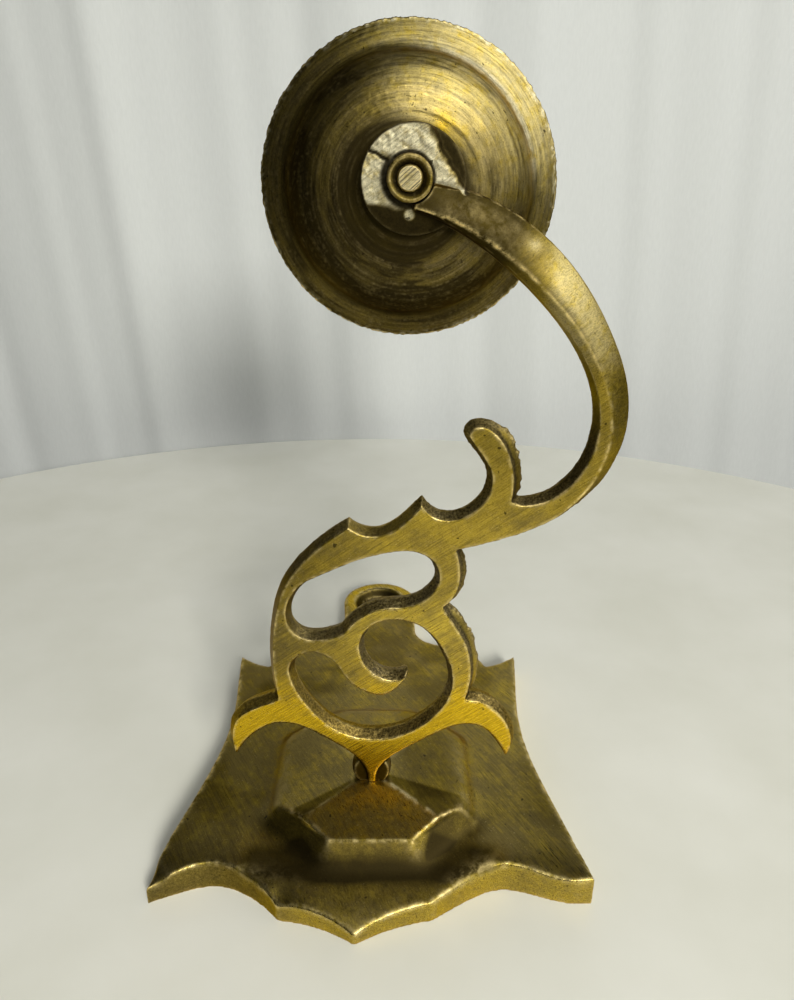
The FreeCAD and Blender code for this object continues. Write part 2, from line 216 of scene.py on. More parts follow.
class Shader:
    """Short way to add shader nodes and join them."""

    def __init__(self, name):
        self.material = bpy.data.materials.new(name)
        self.material.use_nodes = True
        self.tree = self.material.node_tree
        self.tree.nodes.clear()

    def add(self, kind, inputs=None, **settings):
        node = self.tree.nodes.new("ShaderNode" + kind)
        for key, value in settings.items():
            setattr(node, key, value)
        for key, value in (inputs or {}).items():
            if isinstance(value, bpy.types.NodeSocket):
                self.tree.links.new(value, node.inputs[key])
            else:
                node.inputs[key].default_value = value
        return node

    def math(self, operation, a, b=0.0, clamp=False):
        return self.add("Math", {0: a, 1: b}, operation=operation, use_clamp=clamp).outputs[0]

    def vector(self, operation, a, b=(0, 0, 0)):
        node = self.add("VectorMath", {0: a, 1: b}, operation=operation)
        return node.outputs["Value" if operation == "LENGTH" else "Vector"]

    def total(self, *terms):
        """Sum of (value, weight) pairs."""
        result = 0.0
        for value, weight in terms:
            result = self.math("ADD", result, self.math("MULTIPLY", value, weight))
        return result

    def mix(self, factor, a, b):
        """Colour a, covered by colour b as far as the factor says."""
        node = self.add("Mix", data_type="RGBA")
        for socket, value in zip((node.inputs[0], node.inputs[6], node.inputs[7]), (factor, a, b)):
            if isinstance(value, bpy.types.NodeSocket):
                self.tree.links.new(value, socket)
            else:
                socket.default_value = value
        return node.outputs[2]

    def span(self, value, low, high, to_low=0.0, to_high=1.0):
        """Runs from to_low to to_high while the value runs from low to high."""
        node = self.add("MapRange", {0: value, 1: low, 2: high, 3: to_low, 4: to_high})
        return node.outputs[0]

    def place(self, stretch=(1, 1, 1), turn=(0, 0, 0)):
        """Position on the object in millimetres, turned and stretched."""
        where = self.add("TexCoord").outputs["Object"]
        scale = [s / MM for s in stretch]
        turned = self.add("Mapping", {"Vector": where, "Rotation": turn})
        return self.add("Mapping", {"Vector": turned.outputs[0], "Scale": scale}).outputs[0]

    def around(self, centre, reach):
        """Distance from the candle's axis and direction about it, so that marks run in circles."""
        where = self.add("TexCoord").outputs["Object"]
        flat = self.vector("MULTIPLY", self.vector("SUBTRACT", where, centre), (1 / MM, 0, 1 / MM))
        across = self.add("CombineXYZ", {1: self.vector("LENGTH", flat)}).outputs[0]
        run = self.vector("MULTIPLY", self.vector("NORMALIZE", flat), (reach, reach, reach))
        return self.vector("ADD", run, across)

    def noise(self, where, size, detail=3.0, roughness=0.5):
        node = self.add("TexNoise", {"Vector": where, "Scale": 1 / size, "Detail": detail,
                                     "Roughness": roughness})
        return node.outputs["Fac"]

    def stored(self, name):
        """Number stored at the vertices under this name."""
        return self.add("Attribute", attribute_name=name).outputs["Fac"]

    def close(self, surface):
        out = self.add("OutputMaterial")
        self.tree.links.new(surface, out.inputs["Surface"])
        return self.material


def tone(red, green, blue):
    return (red, green, blue, 1.0)


BRIGHT = tone(0.92, 0.72, 0.30)         # rubbed edges and scratches
GOLDEN = tone(0.70, 0.51, 0.070)        # clean metal
RICH = tone(0.80, 0.52, 0.020)          # clean metal where it is deepest yellow, and painted golden highlights on the pan
CRUST = tone(0.30, 0.26, 0.17)          # cast skin
OLIVE = tone(0.24, 0.175, 0.036)        # patina
DARK = tone(0.018, 0.013, 0.005)        # dirt, pits and brushing lines, and painted shade, shadow and dark reflection
PALE = tone(1.0, 0.91, 0.60)            # fresh break, and painted pale highlights
EDGE_TINT = tone(0.70, 0.52, 0.22)      # reflection at a glancing angle


# Sizes of the marks, in millimetres
BLOTCH, CLOUD, PIT, SPECK = 14.0, 3.2, 1.8, 0.55
STREAK, SCRATCH, LINE, FINE = 1.5, 0.45, 0.42, 0.30
LUMP, CRUMB, GRIT = 0.9, 0.7, 0.6
TURNING_REACH = 1.5                 # way round the axis over which turning marks change
CROSSING_TURN = 0.9                 # angle between the brushing and the scratches, in radians


def brass(name, brush=(0.0, 0.0, 0.0), grain=(0.04, 1.0, 1.0), gloss=0.3, pits=0.4, turned=None):
    """Aged brass: brushed, dull in blotches, worn at edges, dirty in hollows, rough where cast.

    brush turns the brushing, grain stretches it, gloss is the roughness and pits how dark the
    specks are. A turned part gives the centre of its turning marks. The numbers stored in the
    mesh say where it is worn ("wear"), dirty ("hollow"), dull ("patina"), darkened by painted
    shade, painted shadow, painted dark reflection and stains ("shade"), rough ("cast"), freshly
    broken or given a painted pale highlight ("pale") and deep yellow, on the pan also as a
    painted highlight ("gold").
    """
    s = Shader(name)
    even = s.place()
    strokes = s.around(turned, TURNING_REACH) if turned else s.place(grain, brush)
    crossing = s.place(grain, [turn - CROSSING_TURN for turn in brush])
    blotch = s.noise(even, BLOTCH, 4.0, 0.6)
    cloud = s.noise(even, CLOUD, 5.0, 0.65)
    speck = s.noise(even, SPECK, 3.0, 0.7)
    pit = s.noise(even, PIT, 2.0, 0.4)
    fine = s.noise(even, FINE, 2.0, 0.8)
    lump = s.noise(even, LUMP, 4.0, 0.7)
    crumb = s.noise(even, CRUMB, 3.0, 0.7)
    grit = s.noise(even, GRIT, 4.0, 0.85)
    line = s.noise(strokes, LINE, 3.0, 0.75)
    streak = s.math("SUBTRACT", s.noise(strokes, STREAK, 4.0, 0.7), 0.5)
    scratch = s.noise(crossing, SCRATCH, 2.0, 0.5)
    wear, hollow, patina = s.stored("wear"), s.stored("hollow"), s.stored("patina")
    shade, cast = s.stored("shade"), s.stored("cast")
    pale, gold = s.stored("pale"), s.stored("gold")

    lumpy = s.total((blotch, 1.3), (cloud, 1.1), (streak, 1.8 if turned else 0.9))
    dull = s.math("ADD", s.math("SUBTRACT", lumpy, 1.2), patina, clamp=True)
    patchy = s.math("MULTIPLY", s.span(cloud, 0.40, 0.62), s.span(speck, 0.3, 0.5, 0.35, 1.0))
    glint = s.math("MULTIPLY", wear, patchy, clamp=True)
    coats = [                       # each covers the ones before it
        (dull, OLIVE),
        # fresh breaks, and painted pale highlights
        (s.math("MULTIPLY", pale, s.span(cloud, 0.25, 0.50)), PALE),
        (s.math("MULTIPLY", cast, 0.6), CRUST),
        (s.span(fine, 0.32, 0.52, 0.38, 0.0), DARK),
        (s.span(fine, 0.58, 0.74, 0.0, 0.14), BRIGHT),
        (s.span(line, 0.36, 0.56, 0.42, 0.0), DARK),
        (s.span(scratch, 0.66, 0.74, 0.0, 0.35), BRIGHT),
        (s.span(speck, 0.60, 0.72, 0.0, pits), DARK),
        (s.math("MULTIPLY", cast, s.span(crumb, 0.40, 0.60, 0.85, 0.15)), DARK),
        (s.span(pit, 0.72, 0.755, 0.0, 0.8), DARK),
        (s.math("MULTIPLY", hollow, 0.85, clamp=True), DARK),
        # painted shade, painted shadow and painted dark reflection, with the plate's stains
        (s.math("MULTIPLY", shade, 0.93, clamp=True), DARK),
        (glint, BRIGHT)]
    colour = s.mix(gold, GOLDEN, RICH)
    for cover, coat in coats:
        colour = s.mix(cover, colour, coat)

    rough = s.total((s.span(line, 0.3, 0.7, gloss - 0.05, gloss + 0.08), 1.0), (dull, 0.10),
                    (cast, 0.22), (pale, 0.14), (shade, 0.22), (glint, -0.08))
    broken = s.math("MULTIPLY", s.math("MULTIPLY", pale, pale), grit)
    height = s.total((line, 0.030), (fine, 0.020), (cloud, 0.05),
                     (s.span(scratch, 0.62, 0.74, 0.0, 0.012), -1.0),
                     (s.span(speck, 0.62, 0.75, 0.0, 0.03 * pits), -1.0),
                     (s.math("MULTIPLY", lump, cast), 0.16), (broken, 0.22))
    relief = s.add("Bump", {"Strength": 0.5, "Distance": MM, "Height": height})
    polish = s.math("SUBTRACT", dull, s.math("MULTIPLY", shade, 1.5), clamp=True)
    metal = s.add("BsdfPrincipled", {"Base Color": colour, "Metallic": 1.0, "Roughness": rough,
                                     "Normal": relief.outputs[0], "Coat Roughness": 0.30,
                                     "Specular Tint": EDGE_TINT,
                                     "Coat Weight": s.math("MULTIPLY", polish, 0.5)})
    return s.close(metal.outputs[0])


# ------------------------------------------------------------------ scroll arm

# The long bar: its middle line in x, z, then by the way run along it where its ridge lies between
# the inner side (0) and the outer (1), and how deep the inner side is cut
BAR_LINE = [(42, 123.5), (52, 126.5), (63.5, 134), (69, 148), (68.7, 160.8), (63.5, 174.5),
            (53, 189.3), (35, 205), (21, 211)]
RIDGE_PLACE = [(0, 0.97), (14, 0.80), (32, 0.58), (50, 0.44), (66, 0.33), (90, 0.24), (130, 0.20)]
INNER_CUT = [(0, 0.0), (40, 0.0), (64, 0.5), (84, 1.0), (130, 1.0)]
# Right-hand sides where the casting is wider behind its face: low x, low z, high x, high z, amount
THICK_SIDES = [(22, 62, 36, 92, 1.3), (22, 95, 32, 112, 0.8), (34, 131, 46, 152, 1.4)]
BAR_REACH = 9                       # how far from its middle line the bar's sides lie at most
ARM_FOOT = 36                       # height above which the arm's outline is followed
# The hub's marks, to the right of and above its centre
BREAK_TOWARDS = (0.876, 0.479)
CRACK_START, CRACK_RUN = (-12.0, 7.4), (0.90, -0.43)
FLAKE = (-1.0, -8.2)
BAR_HIGHLIGHT = (44.3, 201.9)          # place of a painted highlight, where the bar catches light beside the hub, x and z


def smooth_line(points, step):
    """Even points on a smooth curve through the given ones, with the length run so far."""
    given = np.array(points, dtype=float)
    run = np.concatenate([[0], np.cumsum(np.linalg.norm(np.diff(given, axis=0), axis=1))])
    slope = np.gradient(given, run, axis=0)
    at = np.arange(0, run[-1], step)
    k = np.clip(np.searchsorted(run, at, side="right") - 1, 0, len(run) - 2)
    width = (run[k + 1] - run[k])[:, None]
    t = (at - run[k])[:, None] / width
    line = (2 * t**3 - 3 * t**2 + 1) * given[k] + (t**3 - 2 * t**2 + t) * width * slope[k]
    line += (3 * t**2 - 2 * t**3) * given[k + 1] + (t**3 - t**2) * width * slope[k + 1]
    return line, at


def tree_of(points):
    """Search tree over points in a plane."""
    tree = kdtree.KDTree(len(points))
    for index, (x, z) in enumerate(points):
        tree.insert((x, z, 0), index)
    tree.balance()
    return tree


def nearest(tree, points):
    """Distance and index of the nearest stored point."""
    found = [tree.find((x, z, 0)) for x, z in points]
    return np.array([f[2] for f in found]), np.array([f[1] for f in found])


def parting_line(node, step):
    """Points along the casting's parting line, in the plane y = 0."""
    mesh = frame["nodes"][node].data
    points, ends = local_points(mesh), edge_ends(mesh)
    a, b = points[ends[:, 0]], points[ends[:, 1]]
    on = (np.abs(a[:, 1]) < 0.02) & (np.abs(b[:, 1]) < 0.02) & (a[:, 2] > ARM_FOOT)
    found = []
    for start, end in zip(a[on][:, [0, 2]], b[on][:, [0, 2]]):
        count = max(2, int(np.linalg.norm(end - start) / step) + 1)
        found.append(start + (end - start) * np.linspace(0, 1, count)[:, None])
    return np.concatenate(found)


def carve_bar(points, crest):
    """Cuts the long curve to a bar whose ridge wanders from its outer to its inner side."""
    line, run = smooth_line(BAR_LINE, 0.5)
    along = np.gradient(line, axis=0)
    outward = np.stack([along[:, 1], -along[:, 0]], axis=1)
    outward /= np.linalg.norm(outward, axis=1)[:, None]
    middle = tree_of(line)
    crest_gap, crest_at = nearest(middle, crest)
    crest_side = np.sum((crest - line[crest_at]) * outward[crest_at], axis=1)
    near = crest_gap < BAR_REACH - 1
    outer, inner = tree_of(crest[near & (crest_side > 0)]), tree_of(crest[near & (crest_side < 0)])

    gap, at = nearest(middle, points[:, [0, 2]])
    bar = np.flatnonzero((gap < BAR_REACH) & (at > 2))
    flat, y = points[bar][:, [0, 2]], points[bar, 1]
    to_outer, _ = nearest(outer, flat)
    to_inner, _ = nearest(inner, flat)
    across = to_inner / (to_inner + to_outer + 1e-9)
    way = run[at[bar]]
    ridge = np.interp(way, *zip(*RIDGE_PLACE))
    outer_slope = np.clip((across - ridge) / (1 - ridge), 0, 1) ** (1.05 + 1.0 * ramp(way, 45, 80))
    inner_slope = np.clip((ridge - across) / ridge, 0, 1)
    limit = ARM_HALF - (ARM_HALF - 0.5) * outer_slope * ramp(way, 2, 22)
    limit -= 2.9 * inner_slope * np.interp(way, *zip(*INNER_CUT))
    from_hub = np.linalg.norm(flat - HUB_CENTRE, axis=1)
    limit = np.maximum(limit, 1.1 * fade(from_hub, 14, 17))
    back_limit = limit + ARM_HALF * fade(from_hub, 15, 20)
    points[bar, 1] = np.where(y < 0, np.maximum(y, -limit), np.minimum(y, back_limit))
    return points


def thicken_sides(points, out):
    """Pushes the thick sides outward; gives the points and how far each of them moved."""
    x, y, z = points.T
    push = np.zeros(len(points))
    for low_x, low_z, high_x, high_z, amount in THICK_SIDES:
        inside = ramp(x, low_x - 2, low_x) * fade(x, high_x, high_x + 1)
        inside *= ramp(z, low_z - 3, low_z + 3) * fade(z, high_z - 3, high_z + 3)
        push += amount * inside * ramp(out[:, 0], 0.1, 0.5)
    push *= fade(np.abs(y - 0.6), 0.8, 3.0)
    return points + push[:, None] * out * [1, 0, 1], push


def shape_hub(points, out):
    """Breaks the hub's right side, slopes its lower side and cracks it.

    Gives the points, and how much each is of the hub's face, of painted shade (in the broken
    wedge, on the rim, down the lower slope and round the stud) with the crack's dark line, and
    pale.
    """
    x, y, z = points.T
    right, up = x - HUB_CENTRE[0], z - HUB_CENTRE[1]
    radius = np.hypot(right, up)
    face = fade(radius, 13.2, 14.0) * ramp(-y, 0.3, 0.7) * fade(-y, 1.5, 2.0)
    face *= ramp(-out[:, 1], 0.3, 0.6)
    flange = (radius < 14.5) & (y < 3.4) & (y > -1.6)
    above_bar = ramp(up + 0.3 * (right - 9.6), -1.3, -0.3)
    chord = BREAK_TOWARDS[0] * right + BREAK_TOWARDS[1] * up
    chord += 0.7 * noise(points, 2.5, 33) + 0.3 * noise(points, 1.0, 34)
    broken = ramp(chord, 9.7, 10.5) * above_bar * flange
    slope = ramp(-up + 1.2 * noise(points, 3.0, 36), 5.0, 7.0) * flange
    push = 3.2 * broken + 0.30 * np.clip(-up - 6.0, 0, 9) * fade(right, 4, 8)

    crack_x, crack_z = right - CRACK_START[0], up - CRACK_START[1]
    along = crack_x * CRACK_RUN[0] + crack_z * CRACK_RUN[1]
    aside = crack_z * CRACK_RUN[0] - crack_x * CRACK_RUN[1] + 0.25 * noise(points, 1.2, 37)
    crack = fade(np.abs(aside), 0.2, 0.6) * ramp(along, -1.5, 0) * fade(along, 5.5, 6.5) * face
    moved = points.copy()
    moved[:, 1] = np.where(flange, np.minimum(y + push, 3.6), y) + 0.5 * crack

    # painted shade where shadow falls: round the stud, on the hub's rim, at the broken wedge and
    # its edge, and down the lower slope; the crack is a real dark line
    from_stud = np.hypot(x - CANDLE[0], z - CANDLE[2])
    gap = fade(from_stud, 6.6, 8.2) * ramp(-right - up, -3, 3) * face
    gap = np.maximum(gap, fade(from_stud, 6.3, 6.9) * face)
    flake = fade(np.hypot(right - FLAKE[0], up - FLAKE[1]), 1.0, 1.8) * face
    rim = ramp(radius, 12.9, 13.5) * flange
    edge = ramp(chord, 8.9, 9.8) * above_bar * flange
    dark = np.clip(crack + 0.9 * gap + edge + rim + 0.9 * slope * ramp(radius, 6, 8), 0, 1)
    dark *= 1 - flake
    near_break = ramp(chord, 8.2, 9.9) * above_bar
    pale = np.clip(face * (1 - slope) * (1 - near_break) + flake, 0, 1)
    return moved, face, dark, pale


def cast_skin(points, wall):
    """How rough the casting's walls are: less on the long bar, the outer left and the saddle."""
    x, _, z = points.T
    bar_top = ramp(x, 48, 60) * ramp(z, 140, 165) + ramp(z, 165, 185)
    outer_left = ramp(-x, 22, 27) * ramp(z, 60, 66)
    saddle = ramp(z, 117, 120) * ramp(-x, -15, -12) * fade(-x, 4, 8)
    skin = wall * (1 - np.clip(bar_top, 0, 1)) * (1 - 0.75 * outer_left) * (1 - 0.6 * saddle)
    return skin * ramp(z, 34, 40) * (0.65 + 0.35 * ramp(x, -30, 20))


def finish_arm(mesh, points, out, skin, hub_looks):
    """Marks where the arm is dull, rough, pale and golden, and paints its shade and highlights."""
    x, y, z = points.T
    face, dark, pale = hub_looks
    from_hub = np.hypot(x - HUB_CENTRE[0], z - HUB_CENTRE[1])
    # painted shadow and painted dark reflection along the bar's root by the hub
    root_shade = (1 - face) * (0.78 * fade(from_hub, 27, 48) + 0.22 * fade(from_hub, 15, 21))
    # painted shade on the upper left
    left = ramp(-x, -5, 25) * ramp(z, 55, 75) * fade(z, 118, 135)
    # painted highlight where the bar catches light beside the hub
    highlight_spot = bump(x, BAR_HIGHLIGHT[0], 2.2) * bump(z, BAR_HIGHLIGHT[1], 1.7) * ramp(-out[:, 1], 0.2, 0.6)
    # painted shade on the bar's inner side, which faces away from the light
    inner_side_shade = ramp(x, 44, 52) * ramp(z, 126, 134) * ramp(-out[:, 0], 0.15, 0.45)
    inner_side_shade *= fade(z, 195, 200)
    # painted pale highlight along the bar's top
    bar_shine = ramp(z, 166, 176) * ramp(x, 46, 52)
    # painted shade, darker higher up and on the long bar
    upper = ramp(z, 85, 110) * (1 - 0.7 * ramp(z, 168, 182)) * (1 + 0.8 * ramp(x, 50, 60))
    # painted shade on the spur
    spur = ramp(z, 118, 140) * fade(x, 46, 52)
    # painted shade in the crescents beside the knuckle
    knuckle = ramp(-z, -36, -34) * ramp(y, -3.9, -3.4) * ramp(np.abs(x), 0.9, 1.5)
    patina = -0.25 + 0.70 * ramp(z, 46, 72) - 0.25 * ramp(z, 155, 175)
    patina += 0.35 * left + 0.4 * root_shade
    shade = 0.22 * left + 0.18 * spur + 0.20 * upper + 0.35 * inner_side_shade
    shade += root_shade + dark + knuckle - 0.40 * highlight_spot
    mark_looks(mesh, patina, shade, cast=1.1 * skin + 0.7 * dark,
               pale=pale + 0.35 * highlight_spot + 0.30 * bar_shine, gold=1.15 - ramp(z, 50, 85))


def make_arm():
    """The scroll casting with its long ridged bar, rough walls and broken hub."""
    mesh = solid_copy("scroll_arm", 0.36)
    points, ends = local_points(mesh), edge_ends(mesh)
    points = carve_bar(points, parting_line("scroll_arm", 0.3))
    points = relax(points, ends, np.ones(len(points)), 2)
    put_points(mesh, points)
    even, push = thicken_sides(points, normals_of(mesh))
    put_points(mesh, even)

    out = normals_of(mesh)
    from_hub = np.hypot(even[:, 0] - HUB_CENTRE[0], even[:, 2] - HUB_CENTRE[1])
    wall = fade(np.abs(out[:, 1]), 0.55, 0.85)
    skin = cast_skin(even, wall)
    on_flange = fade(from_hub, 13.6, 14.6) * ramp(even[:, 1], -1.9, -1.3)
    mark_edges(mesh, 1, (1 - 0.55 * skin) * (1 - 0.9 * on_flange))
    points, face, dark, pale = shape_hub(even, out)
    lump = 0.13 * rubble(points, 2.4, 3) + 0.08 * rubble(points, 0.8, 9)
    lump += 0.3 * push * rubble(points, 1.6, 12)
    wave = 0.05 * noise(points, 9.0, 21) + 0.03 * noise(points, 4.0, 22)
    grit = 0.10 * rubble(points, 3.0, 31) + 0.12 * rubble(points, 0.9, 35)
    move = skin * lump + face * (pale * grit - 0.1) + (1 - wall) * wave
    put_points(mesh, points + out * move[:, None])
    finish_arm(mesh, even, out, skin, (face, dark, pale))
    material = brass("brushed_cast_brass", brush=(0, math.radians(35), 0), gloss=0.24)
    return piece("scroll_arm_casting", mesh, "arm", "cast_brass", material, "scroll_arm")


# ------------------------------------------------------------------ wall plate

HANG_Y = 140.5                      # centre of the hanging hole
ROLL_TOP = 10.5                     # height of the plate's rim
BOSS_TOP = 18.2                     # height of the boss where its walls end
BLUNT_CORNER = (-72, -33)
# Where the rim is higher or lower than its even roll: x, y, reach, lift
UNEVEN_RIM = [(-72, -33, 9, -2.2), (-29, -40, 5, -1.5), (43, -28, 13, 1.2), (72, -33, 8, 1.0)]


def beyond(points, half_x, low_y, high_y):
    """How far outside a box in plan each point is; negative inside it."""
    x, y, _ = points.T
    return np.maximum(np.abs(x) - half_x, np.maximum(y - high_y, low_y - y))


def soften_plate(points, ends):
    """Rounds the foot of the boss and of its plinth, one blunt corner, and a little everywhere."""
    x, y, z = points.T
    boss = fade(beyond(points, 33, -24.5, 42), 0.0, 5.0)
    near_boss = fade(beyond(points, 40, -33, 50), 0.0, 4.0)
    top = ramp(z, 8.0, ROLL_TOP)
    sides = ramp(np.abs(x), 24, 30) * ramp(y, -13, -5) + ramp(y, 30, 36)
    plinth = top * near_boss * np.clip(sides, 0, 1)
    blunt = top * fade(np.hypot(x - BLUNT_CORNER[0], y - BLUNT_CORNER[1]), 3, 8)
    points = relax(points, ends, top * fade(z, 14.5, 17.5) * near_boss, 70)
    points = relax(points, ends, np.clip(plinth + blunt, 0, 1), 110)
    points = relax(points, ends, 1 - 0.8 * boss, 6)
    return points, boss


def boss_marks(points, boss):
    """How dark the boss is painted where shade falls and where it shows the arm's dark reflection,
    where its worn hip catches light, and its clean front.
    """
    x, y, z = points.T
    walls_end = fade(z, BOSS_TOP, 18.8)
    # painted shade on the plinth's two cut corners
    left_cut = ramp(-x, 18, 24) * fade(y, -14, -6) * boss * ramp(z, 11.5, 13) * walls_end
    right_cut = ramp(x, 17, 21) * fade(y, -14, -6) * ramp(z, 12, 13) * walls_end
    skirt = fade(beyond(points, 38, -32, 50), 0.0, 6.0) * ramp(z, 9.0, 11.0)
    # painted shade, a dark reflection, down the plinth's front
    front = skirt * (1 - 0.35 * ramp(z, 13.0, 17.5)) * fade(z, BOSS_TOP, 18.6) * ramp(-y, 18, 24)
    on_top = boss * ramp(z, BOSS_TOP, 19.0)
    behind = y + 0.75 * np.abs(x)       # distance behind the hips of the boss's top
    reach = np.where(x > 0, 0.55, 0.25) * np.abs(x)
    # painted dark reflection of the arm in the boss's top, behind its hips
    mirrored = ramp(behind, 0, 0.8) * fade(behind, reach, reach + 1.5) * on_top
    hip = bump(behind, 0, 1.0) * ramp(x, 2, 4) * fade(x, 19, 22) * on_top
    hip *= ramp(noise(points, 1.5, 47), -0.4, 0.3)
    shade = 0.7 * left_cut + 0.85 * front + 0.80 * boss * right_cut + 0.6 * mirrored - 0.8 * hip
    patina = 0.4 * front + 0.4 * right_cut
    return patina, shade, hip, on_top * fade(behind, -1.5, 0)


def finish_plate(mesh, points, out, wall, boss):
    """Marks where the plate is dull, rough, pale and golden, and where it is darkened by painted
    shade and by stains.
    """
    x, y, z = points.T
    from_hang = np.hypot(x, y - HANG_Y)
    # painted shade inside the hanging hole
    hole = fade(from_hang, 11.5, 13.5) * ramp(z, -1, 0)
    ring = fade(from_hang, 16, 18) * ramp(from_hang, 13, 14)
    face = ramp(out[:, 2], 0.5, 0.9)
    # painted shade towards the left, the lower left and on the left front walls, which are also
    # rougher
    left = ramp(-x, 0, 60) * face
    low_left = ramp(-x, 8, 40) * ramp(y, -25, 10) * fade(y, 70, 100) * face
    left_wall = wall * ramp(-x, 20, 40) * ramp(-y, 20, 28)
    stain = ramp(noise(points, 22.0, 48) + 0.5 * noise(points, 8.0, 49), 0.0, 0.7) * face
    patina, shade, hip, front_top = boss_marks(points, boss)
    patina += 0.45 + 0.40 * face + 0.1 * left - 0.5 * ring - 0.2 * wall
    # painted shade in the hole, towards the left and at the front middle; the stains are real
    shade += hole - 0.3 * ring + 0.10 * left + 0.25 * low_left + 0.30 * stain + 0.35 * left_wall
    shade += 0.30 * face * ramp(-y, 24, 34) * fade(np.abs(x), 20, 45)
    mark_looks(mesh, patina, shade, cast=0.15 * wall + 0.4 * left_wall, pale=0.8 * hip,
               gold=0.8 * front_top + 0.5 * ring)


def make_plate():
    """The wall plate and its boss, worn soft, with an uneven rim."""
    mesh = solid_copy("wall_plate", 0.6)
    points, boss = soften_plate(local_points(mesh), edge_ends(mesh))
    x, y, z = points.T
    for place_x, place_y, reach, lift in UNEVEN_RIM:
        near = bump(np.hypot(x - place_x, y - place_y), 0, reach)
        points[:, 2] += lift * near * np.clip(z / ROLL_TOP, 0, 1)
    put_points(mesh, points)
    out = normals_of(mesh)
    wall = fade(np.abs(out[:, 2]), 0.3, 0.6)
    mark_edges(mesh, 1)
    wave = 0.10 * noise(points, 14.0, 41) + 0.04 * noise(points, 5.0, 42)
    move = wave * (z > 1.0) + 0.06 * wall * rubble(points, 1.6, 45)
    points = points + out * move[:, None]
    put_points(mesh, points)
    finish_plate(mesh, points, out, wall, boss)
    material = brass("plate_brass", brush=(0, 0, math.radians(60)), gloss=0.22)
    return piece("wall_plate_casting", mesh, "plate", "cast_brass", material, "wall_plate")


# ------------------------------------------------------------------ turned parts

SAW_TURN = math.radians(-40)        # direction across the saw marks on the stud's end
SOFT_CORNER = 0.15


def lathe(profile, centre, turns):
    """Closed solid of revolution about the candle's direction from (radius, y) points in order."""
    ring = np.array(profile)
    angle = np.linspace(0, 2 * math.pi, turns, endpoint=False)
    x = centre[0] + np.outer(np.cos(angle), ring[:, 0])
    z = centre[2] + np.outer(np.sin(angle), ring[:, 0])
    y = centre[1] + np.broadcast_to(ring[:, 1], x.shape)
    points = np.stack([x, y, z], axis=2).reshape(-1, 3)
    count = len(ring)
    faces = []
    for i in range(turns):
        for j in range(count):
            a, b = i * count + j, i * count + (j + 1) % count
            c, d = (i + 1) % turns * count + (j + 1) % count, (i + 1) % turns * count + j
            faces.append((a, b, c, d))
    mesh = bpy.data.meshes.new("lathe")
    mesh.from_pydata(points.tolist(), [], faces)
    put_points(mesh, points)
    tidy = bmesh.new()
    tidy.from_mesh(mesh)
    bmesh.ops.recalc_face_normals(tidy, faces=tidy.faces)
    tidy.to_mesh(mesh)
    tidy.free()
    return mesh


def box_size(node):
    """Lowest and highest corner of a node's box, in millimetres beside the pivot."""
    low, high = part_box(node)
    return (np.array(low) - PIVOT) / MM, (np.array(high) - PIVOT) / MM


PAN_BORE = 6.4
PAN_WALL = 1.3
PAN_LIP = 14.55
# Underside of the dish from its bore to its lip: radius and depth
PAN_SECTION = [(PAN_BORE, 0.0), (15.8, 0.0), (22.0, 0.9), (28.0, 3.2), (31.5, 6.6), (34.0, 10.6),
               (37.6, 12.6)]
CREASE = 33.6                       # radius of the crease
LIT_TURN = math.radians(40)      # painted light: the pan is painted brightest towards this place of its clock face, where the light falls


def pan_shape(radius, base):
    """The dish as a thin turned shell."""
    under, _ = smooth_line(PAN_SECTION + [(radius - 0.1, PAN_LIP)], 0.28)
    inside = under[::-1] + [0, PAN_WALL]
    return lathe(np.concatenate([under, inside]) + [0, base], PAN_CENTRE, 640)


